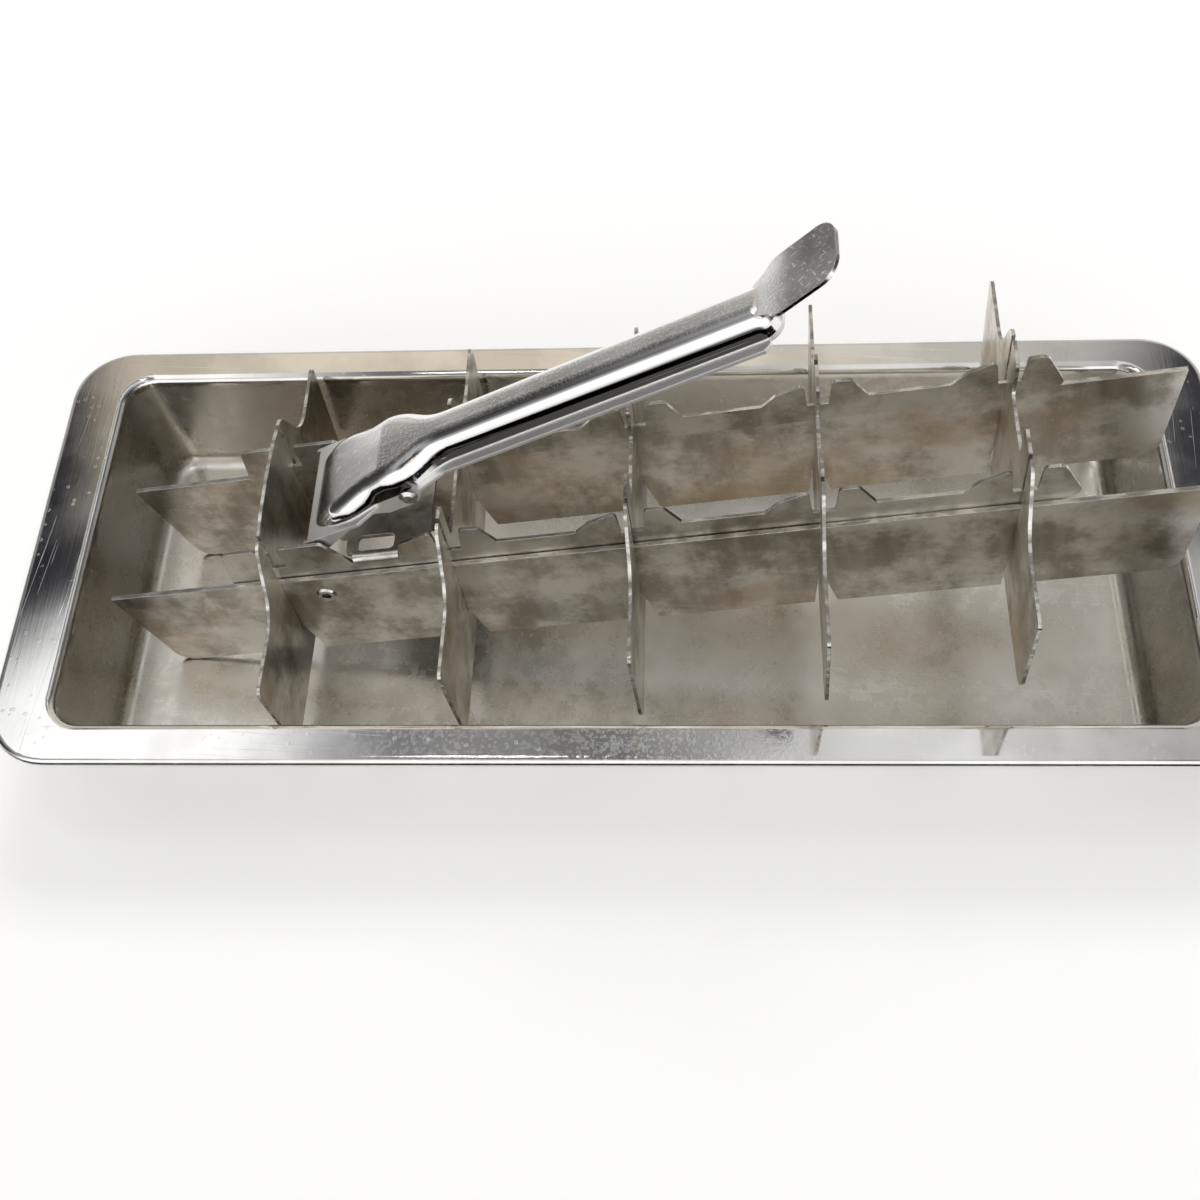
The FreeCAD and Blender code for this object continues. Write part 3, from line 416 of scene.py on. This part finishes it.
# ---- Cross walls -------------------------------------------------------------------------------
# Five walls of thinner sheet that rock in the dividers' slots. The one at the left end has a tall
# plate for the lever's nose.

dress(["cross_wall_%d" % (k + 1) for k in range(5)],
      sheet_steel("wall_sheet", flat_axis=0, tone=1.03))


# ---- Slide frame -------------------------------------------------------------------------------
# Two notched strips and the plate between them, blanked and folded from one sheet. The plate lies
# flat between the strips, and the sheet is a little darker than the walls'.

_, slide_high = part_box("slide_frame")
dress(["slide_frame"],
      sheet_steel("slide_sheet", flat_axis=1, tone=0.92, plate_side=slide_high.y))


# ---- Lever -------------------------------------------------------------------------------------
# A pressed and polished sheet. Its top is satin from handling, and its colour there is painted
# shade:
# dark grey on the hood and tongue, lighter grey on the handle, with a painted highlight along the
# handle's far side and painted glints in its grain. Its rolled sides stay bright and its upright
# walls are painted nearly black, a painted dark reflection, above a pale matt lip. Fine scratches
# run along it, and thumbs have crossed the tongue with more of them.

lever_pitch = math.radians(29.126)
fulcrum_x, fulcrum_z = -0.068, 0.03077
fulcrum_height = fulcrum_z * math.cos(lever_pitch) - fulcrum_x * math.sin(lever_pitch)
lip_top = 0.0156
lip_ends = (lip_top + 0.0001, lip_top + 0.0005)

# Where one part of the lever's finish gives way to the next: how far a face looks sideways, and
# places along and across the lever.
side_begins = (0.10, 0.45)
wall_begins = (0.90, 0.96)
handle_begins = (-0.066, -0.044)
tongue_begins = (0.031, 0.036)
far_begins = (-0.001, 0.006)

lever = Finish(bpy.data.materials.new("lever_polished"))
lever_place = lever.node("ShaderNodeTexCoord", output="Object")
lever_sideways = lever.parts_of(lever.node("ShaderNodeTexCoord", output="Normal"))[1].size()
lever_along = lever.node("ShaderNodeMapping", None,
                         {"Vector": lever_place, "Rotation": (0, lever_pitch, 0)})
lever_x, lever_y = lever.parts_of(lever_place)[:2]
lever_height = lever.parts_of(lever_along)[2] - fulcrum_height

on_top = 1 - lever_sideways.between(*side_begins)
on_wall = lever_sideways.between(*wall_begins)
on_tongue = lever_x.between(*tongue_begins)
on_handle = on_top * lever_x.between(*handle_begins) * (1 - on_tongue)
far_side = on_handle * lever_y.between(*far_begins)
on_lip = 1 - lever_height.between(*lip_ends)

brushing = grain(lever, lever_along, (0.035, 1.0, 1.0), 1700, 6.0)
sparkle = noise(lever, lever_place, 1700, 3.0).between(0.50, 0.62)
handling = noise(lever, lever_place, 48, 6.0, 0.6).between(0.38, 0.66)
long_rubs = scratches(lever, lever_along, (0, 0, 0), 0.17)
cross_rubs = scratches(lever, lever_along, (0, 0, math.radians(52)), 0.17)
rubs = long_rubs + on_tongue * cross_rubs

# The top's colour is painted shade: dark on the hood and tongue, a lighter grey on the handle.
painted_top_shade = lever.blend_colours(handling, (0.19, 0.187, 0.18), (0.36, 0.355, 0.34))
painted_handle_shade = lever.blend_colours(handling, (0.50, 0.495, 0.48), (0.74, 0.735, 0.72))
lever_polish = lever.blend_colours(handling, (0.84, 0.835, 0.825), (0.93, 0.925, 0.915))
lever_colour = lever.layers(
    lever_polish,
    (on_top, lever.blend_colours(on_handle, painted_top_shade, painted_handle_shade)),
    # painted highlight along the handle top's far side
    (far_side, (0.96, 0.955, 0.945)),
    # painted dark reflection: the upright walls are painted nearly black
    (on_wall, (0.07, 0.068, 0.065)),
    (on_lip, (0.92, 0.915, 0.90)),
    # real scratches lightened, and painted glints where the sparkle is on the handle
    (0.35 * rubs + 0.35 * on_handle * sparkle, (0.97, 0.965, 0.95)))
lever_satin = on_top * (0.08 + 0.10 * handling + 0.06 * brushing)
lever_roughness = 0.04 + 0.03 * handling + (1 - on_lip) * lever_satin + 0.42 * on_lip
lever_relief = on_top * brushing + 1.5 * on_handle * sparkle + 0.15 * brushing + 0.5 * rubs
steel(lever, lever_colour, lever_roughness, lever_relief, depth=0.16, edge_round=0.0003,
      worn_colour=(0.93, 0.925, 0.91))
dress(["lever_handle"], lever)


# ---- Rivets and pin ----------------------------------------------------------------------------
# Two hollow rivets that the lever turns on and the pin through its shoulder, all bright turned
# steel.

rivets = Finish(bpy.data.materials.new("rivet_bright"))
rivet_place = rivets.node("ShaderNodeTexCoord", output="Object")
rivet_marks = noise(rivets, rivet_place, 900, 3.0)
rivet_grime = noise(rivets, rivet_place, 420, 4.0).between(0.52, 0.66)
rivet_colour = rivets.layers(
    (0.56, 0.55, 0.53),
    (rivet_marks, (0.76, 0.75, 0.73)),
    (0.6 * rivet_grime, (0.22, 0.20, 0.17)))
rivet_roughness = 0.10 + 0.10 * rivet_marks + 0.15 * rivet_grime
steel(rivets, rivet_colour, rivet_roughness, rivet_marks, depth=0.12, edge_round=0.00015)
dress(["front_eyelet", "back_eyelet", "shoulder_pin"], rivets)
